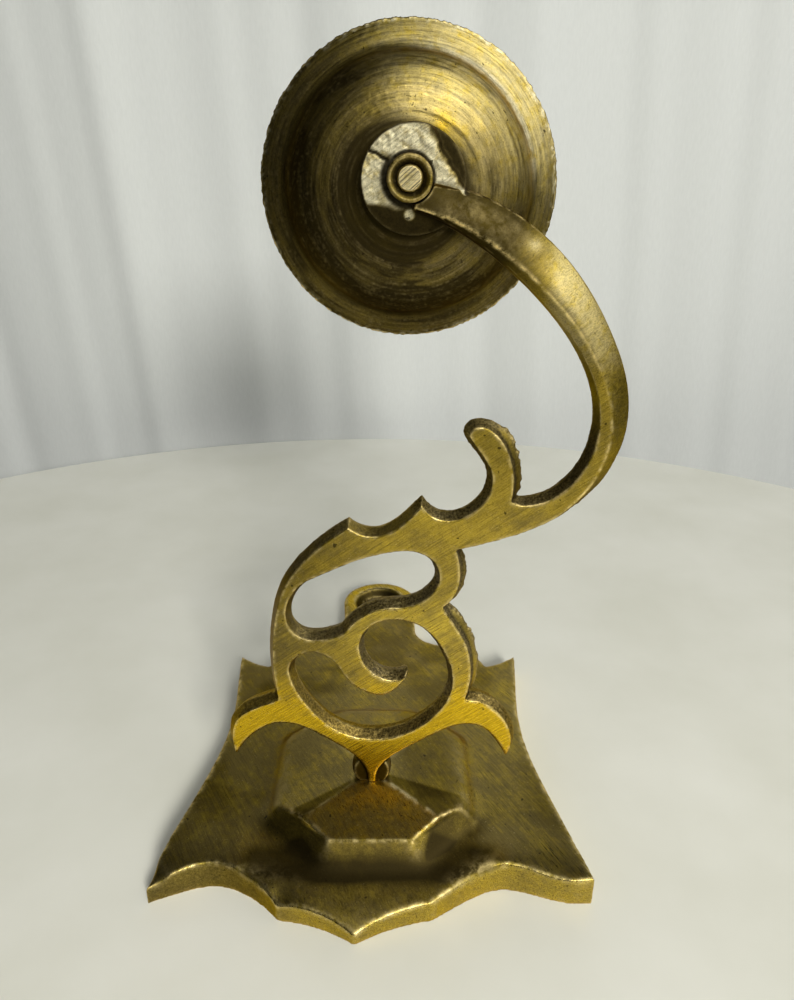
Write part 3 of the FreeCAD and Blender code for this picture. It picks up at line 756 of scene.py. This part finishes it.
def finish_pan(mesh, points, radius, r, lip_wear):
    """Marks the painted lit sector, the painted shade and highlights of the dish, the streaks
    round it and its worn lip.
    """
    x, z = points[:, 0] - PAN_CENTRE[0], points[:, 2] - PAN_CENTRE[2]
    clock = np.degrees(np.arctan2(x, z))
    # painted light: how far each place lies towards the light's side of the dish, and the lit
    # sector there
    towards_light = (x * math.sin(LIT_TURN) + z * math.cos(LIT_TURN)) / np.maximum(r, 1)
    lit_sector = ramp(towards_light, 0.2, 1.0)
    rim = ramp(r, radius - 0.8, radius)
    # painted shade on the steep ring
    steep = bump(r, 30.5, 3.6) * (1 + 0.5 * noise(points, 10.0, 63))
    # painted shadow of the hub, towards the lower left
    hub_shadow = fade(np.hypot(x + 2.2, z + 0.5), 15.5, 19.5)
    # painted shade on the belly right of the hub
    belly_shade = bump(clock, 72, 30) * fade(r, 25, 31)
    # painted highlight near the hub
    glow = bump(clock, 30, 11) * fade(r, 18, 21)
    # painted shade on the lower left, away from the light
    low_shade = ramp(-towards_light, 0.0, 0.6) * bump(r, 27, 5.0) * (1 + 0.6 * noise(points, 7.0, 65))
    # painted highlight along the top of the crease
    crease = bump(r, CREASE, 0.9) * ramp(clock, -5, 10) * fade(clock, 75, 95)
    round_it = np.stack([x / r * 14, r * 2.5, z / r * 14], axis=1)
    swirl = ramp(noise(round_it, 6.0, 67) + 0.5 * noise(round_it, 2.0, 68), 0.0, 0.7)
    # painted shade and light from the marks above; the swirl streaks and the noise are marks of
    # the metal
    shade = 0.42 - 0.12 * towards_light - 0.30 * lit_sector + steep * (0.42 - 0.30 * lit_sector)
    shade += 0.9 * hub_shadow + 0.50 * belly_shade + 0.35 * low_shade + 0.12 * noise(points, 9.0, 64)
    shade += 0.32 * swirl * (1 - 0.5 * lit_sector) + 0.1 * lit_sector * fade(r, 24, 30)
    shade -= 0.45 * lip_wear + 0.3 * glow + 0.3 * crease
    # patina, pale and gold are lightened in the lit sector as painted highlight; the lip's wear is
    # real
    mark_looks(mesh, 0.85 - 0.50 * lit_sector - 0.2 * rim, shade,
               cast=0.3 * ramp(r, 15, 20) * (1 - rim) * fade(towards_light, 0, 0.8),
               pale=0.26 * lit_sector * (1 - glow) + 0.9 * lip_wear + 0.6 * crease,
               gold=0.35 * lit_sector + 0.6 * glow)


def make_pan():
    """The drip pan: a spun dish with turning grooves, shallow dents and a nicked lip."""
    low, high = box_size("drip_pan")
    radius = (high[0] - low[0]) / 2
    mesh = pan_shape(radius, low[1] - PAN_CENTRE[1])
    points, out = local_points(mesh), normals_of(mesh)
    r = np.hypot(points[:, 0] - PAN_CENTRE[0], points[:, 2] - PAN_CENTRE[2])
    ring = np.stack([r, np.zeros_like(r), np.zeros_like(r)], axis=1)
    groove = 0.05 * rubble(ring, 1.5, 51) + 0.05 * noise(ring, 4.0, 55)
    dent = 0.20 * noise(points, 13.0, 57) + 0.05 * noise(points, 5.0, 56)
    dent += 0.03 * rubble(points, 1.2, 58)
    nick = 0.34 * ramp(r, radius - 0.8, radius) * rubble(points, 0.8, 61)
    lip_wear = ramp(r, radius - 2.2, radius) * ramp(rubble(points, 1.1, 66), -0.1, 0.5)
    points = points + out * (groove + dent * ramp(r, 16, 20) + nick)[:, None]
    put_points(mesh, points)
    mark_edges(mesh, 2)
    finish_pan(mesh, points, radius, r, lip_wear)
    material = brass("spun_brass", gloss=0.22, pits=0.8, turned=tuple(PAN_CENTRE * MM + PIVOT))
    return piece("drip_pan_dish", mesh, "pan", "spun_brass", material, "drip_pan")


def make_ferrule():
    """The collar nut, darker all over, with painted shade in its bore and round its foot."""
    mesh = solid_copy("ferrule_nut", 0.14)
    points, ends = local_points(mesh), edge_ends(mesh)
    points = relax(points, ends, np.ones(len(points)), 3)
    put_points(mesh, points)
    out = normals_of(mesh)
    points = points + out * (0.05 * rubble(points, 1.3, 71))[:, None]
    put_points(mesh, points)
    mark_edges(mesh, 2)
    off = np.hypot(points[:, 0] - CANDLE[0], points[:, 2] - CANDLE[2])
    # painted shade in the bore and round the foot
    mark_looks(mesh, 0.9, 0.30 + 0.6 * ramp(off, 5.2, 6.0) + 0.7 * (1 - ramp(off, 4.0, 4.9)))
    material = brass("ferrule_brass", gloss=0.3)
    return piece("ferrule_collar", mesh, "cup", "turned_brass", material, "ferrule_nut")


def make_stud_end():
    """The stud, with saw marks across its end."""
    mesh = solid_copy("cup_stud", 0.14)
    points = local_points(mesh)
    out = normals_of(mesh)
    face = ramp(-out[:, 1], 0.7, 0.95)
    across = points[:, 0] * math.sin(SAW_TURN) + points[:, 2] * math.cos(SAW_TURN)
    stripe = np.stack([across, np.zeros_like(across), np.zeros_like(across)], axis=1)
    points = points + out * (face * 0.07 * rubble(stripe, 0.5, 81))[:, None]
    put_points(mesh, points)
    mark_edges(mesh, 1)
    mark_looks(mesh, 0.8, 0.1, pale=0.6 * face)
    material = brass("stud_brass", gloss=0.38)
    return piece("cup_stud_rod", mesh, "cup", "turned_brass", material, "cup_stud")


def make_cup():
    """The turned socket for the candle."""
    mesh = solid_copy("candle_cup", 0.35)
    points, ends = local_points(mesh), edge_ends(mesh)
    points = relax(points, ends, np.ones(len(points)), 2)
    put_points(mesh, points)
    mark_edges(mesh, 2)
    mark_looks(mesh, 0.5, 0.15)
    material = brass("socket_brass", grain=(1, 0.1, 1), gloss=0.3)
    return piece("candle_socket_turning", mesh, "cup", "turned_brass", material, "candle_cup")


def make_hardware():
    """The hidden pivot hardware keeps its own shape, with softened corners."""
    material = brass("hardware_brass", gloss=0.35)
    for node in ("pivot_stud", "pivot_washer", "pivot_nut", "pivot_locknut"):
        obj = frame["nodes"][node]
        obj.data.materials.clear()
        obj.data.materials.append(material)
        soft = obj.modifiers.new("soft", "BEVEL")
        soft.width = SOFT_CORNER * MM
        soft.segments = 2


# ------------------------------------------------------------------ stage

# Places and sizes on the stage are in metres
TABLE_CENTRE = (-0.008, -0.206)
TABLE_RADIUS = 0.481
TABLE_THICK = 0.02
CURTAIN_Y = 0.32
CURTAIN_HALF = 1.1
CURTAIN_LOW, CURTAIN_HIGH = -0.5, 0.55
ROOM_DARK, ROOM_BRIGHT = 0.05, 1.6  # mirror image of the room and of its bright side
ROOM_FILL = 0.09                    # strength of the room's own light
BRIGHT_SIDE = (0.50, -0.55, 0.67)   # direction of the room's bright side
BRIGHT_FROM = 0.66                  # how near that direction the bright side begins
WINDOW = (0.75, -0.45, 0.90)
LAMP = (0.35, -1.20, 0.66)
LIGHTS_AIM = (0.0, -0.12, 0.10)
CAMERA_BEFORE_PIVOT = 0.216
CAMERA_X, CAMERA_Z = 0.0088, 0.225
CAMERA_DOWN = math.radians(24)
CAMERA_LENS = 28.62


def make_table():
    """Round white table top."""
    tidy = bmesh.new()
    bmesh.ops.create_circle(tidy, cap_ends=True, radius=TABLE_RADIUS, segments=256)
    edge = bmesh.ops.extrude_face_region(tidy, geom=tidy.faces[:])
    down = [v for v in edge["geom"] if isinstance(v, bmesh.types.BMVert)]
    bmesh.ops.translate(tidy, verts=down, vec=(0, 0, -TABLE_THICK))
    bmesh.ops.recalc_face_normals(tidy, faces=tidy.faces)
    mesh = bpy.data.meshes.new("table")
    tidy.to_mesh(mesh)
    tidy.free()
    obj = bpy.data.objects.new("table", mesh)
    obj.location = (*TABLE_CENTRE, 0)
    bpy.context.scene.collection.objects.link(obj)
    s = Shader("table_top")
    spot = s.noise(s.place(), 60.0, 4.0)
    colour = s.mix(s.span(spot, 0.3, 0.7), tone(0.60, 0.60, 0.53), tone(0.66, 0.66, 0.60))
    top = s.add("BsdfPrincipled", {"Base Color": colour, "Roughness": 0.20,
                                   "Specular IOR Level": 0.35,
                                   "Emission Color": colour, "Emission Strength": 0.12})
    mesh.materials.append(s.close(top.outputs[0]))


def make_curtain():
    """Pale cloth behind the table, seen only from the front."""
    columns = np.linspace(-CURTAIN_HALF, CURTAIN_HALF, 441)
    rows = np.linspace(CURTAIN_LOW, CURTAIN_HIGH, 30)
    points, faces = [], []
    for z in rows:
        for x in columns:
            probe = np.array([[x / MM + 60 * z, 0, 0]])
            fold = 0.010 * noise(probe, 70.0, 5)[0] + 0.004 * noise(probe, 22.0, 6)[0]
            points.append((x, CURTAIN_Y + fold, z))
    width = len(columns)
    for i in range(len(rows) - 1):
        for j in range(width - 1):
            a = i * width + j
            faces.append((a, a + 1, a + width + 1, a + width))
    mesh = bpy.data.meshes.new("curtain")
    mesh.from_pydata(points, [], faces)
    mesh.shade_smooth()
    obj = bpy.data.objects.new("curtain", mesh)
    bpy.context.scene.collection.objects.link(obj)
    s = Shader("curtain_cloth")
    weave = s.noise(s.place((1, 1, 0.2)), 1.2, 2.0)
    colour = s.mix(weave, tone(0.56, 0.58, 0.57), tone(0.62, 0.64, 0.63))
    cloth = s.add("BsdfPrincipled", {"Base Color": colour, "Roughness": 0.9,
                                     "Emission Color": colour, "Emission Strength": 0.01})
    behind = s.add("NewGeometry").outputs["Backfacing"]
    clear = s.add("BsdfTransparent")
    both = s.add("MixShader", {0: behind, 1: cloth.outputs[0], 2: clear.outputs[0]})
    mesh.materials.append(s.close(both.outputs[0]))


def make_light(name, place, size, power, colour, lights_cloth=True, lights_metal=True):
    """Square lamp turned to the part; it may light only what is dull or only show in metal."""
    data = bpy.data.lights.new(name, "AREA")
    data.size = size
    data.energy = power
    data.color = colour
    obj = bpy.data.objects.new(name, data)
    obj.location = place
    aim = Vector(LIGHTS_AIM) - Vector(place)
    obj.rotation_euler = aim.to_track_quat("-Z", "Y").to_euler()
    obj.visible_diffuse = lights_cloth
    obj.visible_glossy = lights_metal
    bpy.context.scene.collection.objects.link(obj)


def make_world():
    """Dark room with one bright side in reflections, an even pale wall where it is seen."""
    world = bpy.data.worlds.new("room")
    world.use_nodes = True
    tree = world.node_tree
    tree.nodes.clear()

    def add(kind, *inputs, **settings):
        """A node with its inputs in order."""
        node = tree.nodes.new("ShaderNode" + kind)
        for key, value in settings.items():
            setattr(node, key, value)
        for index, value in enumerate(inputs):
            if isinstance(value, bpy.types.NodeSocket):
                tree.links.new(value, node.inputs[index])
            elif value is not None:
                node.inputs[index].default_value = value
        return node

    way = add("TexCoord").outputs["Generated"]
    near = add("VectorMath", way, BRIGHT_SIDE, operation="DOT_PRODUCT").outputs["Value"]
    bright = add("MapRange", near, BRIGHT_FROM, 1.0, ROOM_DARK, ROOM_BRIGHT).outputs[0]
    path = add("LightPath")
    strength = add("Mix", path.outputs["Is Glossy Ray"], None, ROOM_FILL, bright)
    mirrored = add("Background", (0.93, 0.96, 0.92, 1), strength.outputs[0])
    seen = add("Background", (0.60, 0.61, 0.59, 1), 1.0)
    either = add("MixShader", path.outputs["Is Camera Ray"], mirrored.outputs[0], seen.outputs[0])
    add("OutputWorld", either.outputs[0])
    bpy.context.scene.world = world


def make_camera():
    """Looks straight along +Y and somewhat down."""
    data = bpy.data.cameras.new("camera")
    data.lens = CAMERA_LENS
    obj = bpy.data.objects.new("camera", data)
    obj.location = (CAMERA_X, PIVOT[1] - CAMERA_BEFORE_PIVOT, CAMERA_Z)
    obj.rotation_euler = (math.pi / 2 - CAMERA_DOWN, 0, 0)
    bpy.context.scene.collection.objects.link(obj)
    bpy.context.scene.camera = obj


make_arm()
make_plate()
make_pan()
make_ferrule()
make_stud_end()
make_cup()
make_hardware()
make_table()
make_curtain()
make_light("window", WINDOW, 0.80, 1.5, (1.0, 0.98, 0.93), lights_metal=False)
make_light("window_glow", WINDOW, 0.60, 11.0, (1.0, 0.98, 0.95), lights_cloth=False)
make_light("lamp", LAMP, 0.30, 23.0, (1.0, 0.98, 0.92), lights_metal=False)
make_light("lamp_glow", LAMP, 0.45, 6.0, (1.0, 0.98, 0.93), lights_cloth=False)
make_world()
make_camera()
bpy.context.scene.view_settings.view_transform = "Standard"
